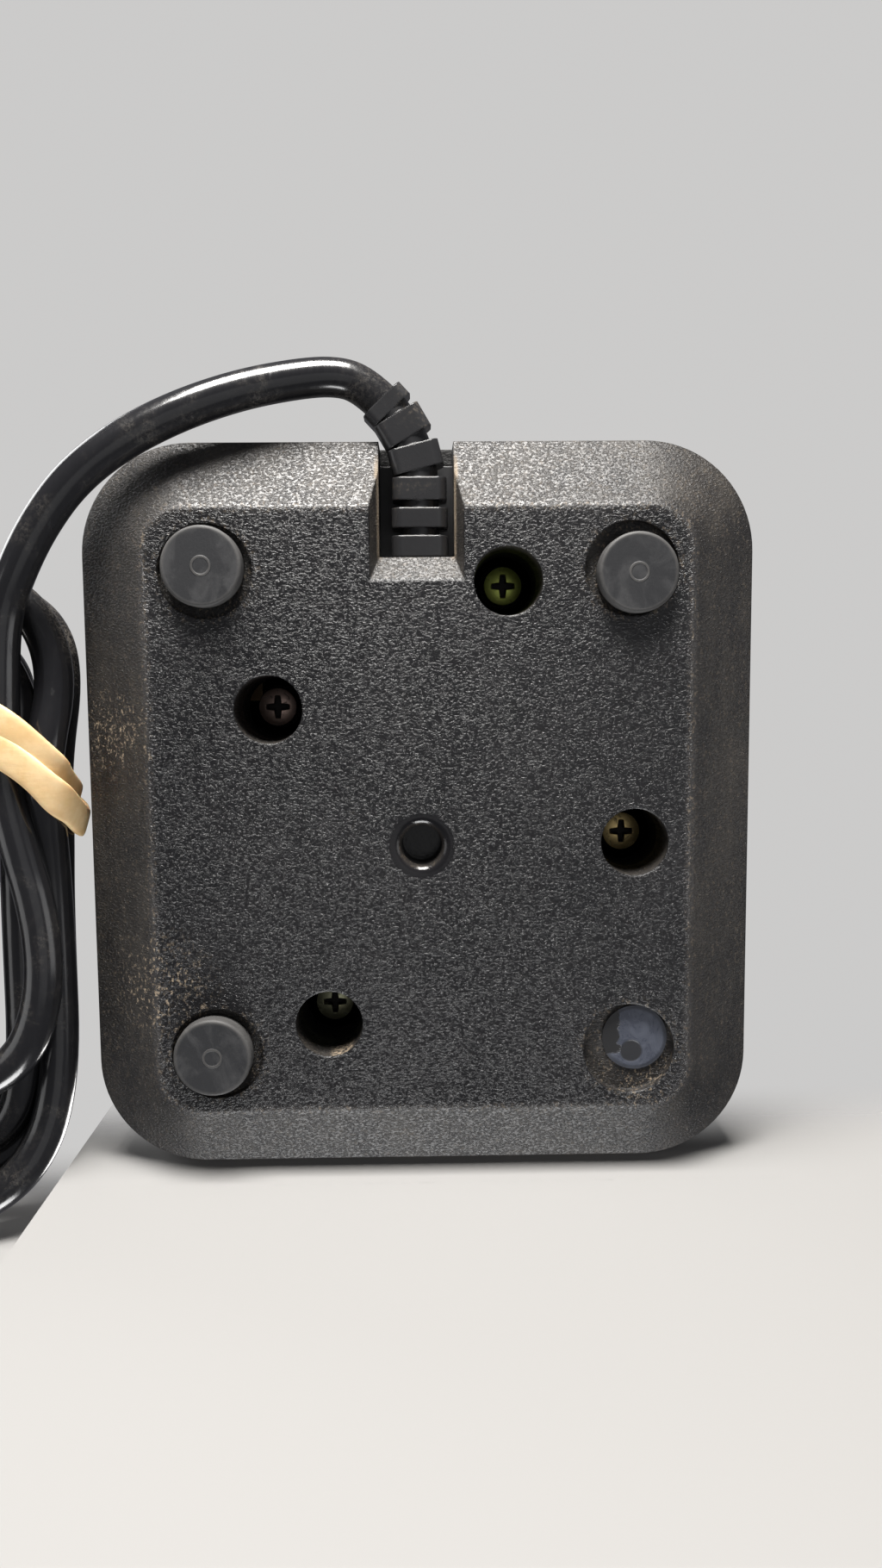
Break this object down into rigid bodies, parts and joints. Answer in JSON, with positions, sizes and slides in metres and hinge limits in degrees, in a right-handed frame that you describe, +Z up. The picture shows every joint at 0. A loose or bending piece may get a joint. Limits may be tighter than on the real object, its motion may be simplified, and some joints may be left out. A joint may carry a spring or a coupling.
{
  "type": "corded joystick",
  "caption": "Corded ball-top joystick: square bevelled box on rubber feet, centred stick on a gimbal, fire buttons, and a thin lead folded and tied, with a D-type plug.",
  "frame": {"origin": "under the box's centre, on the plane that its feet stand on", "axes": "+Z up, +Y to the back where the lead comes out, +X to the user's right"},
  "size_m": [0.1526, 0.1738, 0.128],
  "materials": {
    "housing_plastic": "fine moulded grain",
    "grip_red": "polished",
    "black_plastic": "satin",
    "foot_rubber": "matt, dusty",
    "adhesive": "glossy residue",
    "zinc_steel": "yellow zinc plate",
    "bright_steel": "polished",
    "spring_steel": "drawn wire",
    "contact_brass": "rolled strip",
    "board_laminate": "paper laminate",
    "inner_plastic": "natural moulded",
    "relief_plastic": "satin",
    "lead_sheath": "glossy sheath",
    "wire_sheath": "thin insulation",
    "band_rubber": "matt"
  },
  "bodies": {
    "housing": {"lower_shell": "housing_plastic", "upper_shell": "housing_plastic", "housing_screws": "zinc_steel", "yoke_screws": "zinc_steel", "button_screws": "zinc_steel", "clamp_screws": "zinc_steel", "foot_rear_right": "foot_rubber", "foot_rear_left": "foot_rubber", "foot_front_right": "foot_rubber", "foot_adhesive_pads": "adhesive", "adhesive_residue": "adhesive", "pivot_yoke": "inner_plastic", "stick_collar": "black_plastic", "centring_spring": "spring_steel", "button_spring_right": "spring_steel", "button_spring_left": "spring_steel", "contact_board": "board_laminate", "leaf_contacts_inner": "contact_brass", "leaf_contacts_outer": "contact_brass", "button_holder_right": "inner_plastic", "button_board_right": "board_laminate", "button_holder_left": "inner_plastic", "button_board_left": "board_laminate", "button_snap_contacts": "bright_steel", "strain_relief": "relief_plastic", "cable_clamp": "inner_plastic", "core_wires": "wire_sheath", "lead_hank": "lead_sheath", "rubber_band": "band_rubber", "lead": "lead_sheath", "lead_tail": "lead_sheath", "plug_relief": "relief_plastic", "plug_hood": "relief_plastic", "plug_skirt": "bright_steel", "plug_insert": "black_plastic", "plug_contacts": "contact_brass"},
    "stick": {"pivot_pin": "bright_steel", "stick_shaft": "bright_steel", "stick_hub": "inner_plastic", "actuator_drum": "inner_plastic", "retaining_clip": "spring_steel", "dust_dome": "black_plastic", "shaft_sleeve": "black_plastic", "stick_ball": "grip_red", "ball_insert": "contact_brass"},
    "gimbal": {"gimbal_ring": "inner_plastic"},
    "left_button": {"fire_button_left": "grip_red"},
    "right_button": {"fire_button_right": "grip_red"}
  },
  "joints": [
    {"name": "tilt_fore_aft", "type": "hinge", "parent": "housing", "child": "gimbal", "pos_m": [0, -0.0047, 0.024], "axis": [1, 0, 0], "range_deg": [-15, 15], "stiffness_Nm_per_rad": 0.25, "deforming": ["centring_spring"]},
    {"name": "tilt_sideways", "type": "hinge", "parent": "gimbal", "child": "stick", "pos_m": [0, -0.0047, 0.024], "axis": [0, 1, 0], "range_deg": [-15, 15], "stiffness_Nm_per_rad": 0.25},
    {"name": "press_left", "type": "slide", "parent": "housing", "child": "left_button", "axis": [0, 0, -1], "range_m": [0, 0.0024], "stiffness_N_per_m": 400, "springref_m": -0.001, "deforming": ["button_spring_left"]},
    {"name": "press_right", "type": "slide", "parent": "housing", "child": "right_button", "axis": [0, 0, -1], "range_m": [0, 0.0024], "stiffness_N_per_m": 400, "springref_m": -0.001, "deforming": ["button_spring_right"]}
  ]
}
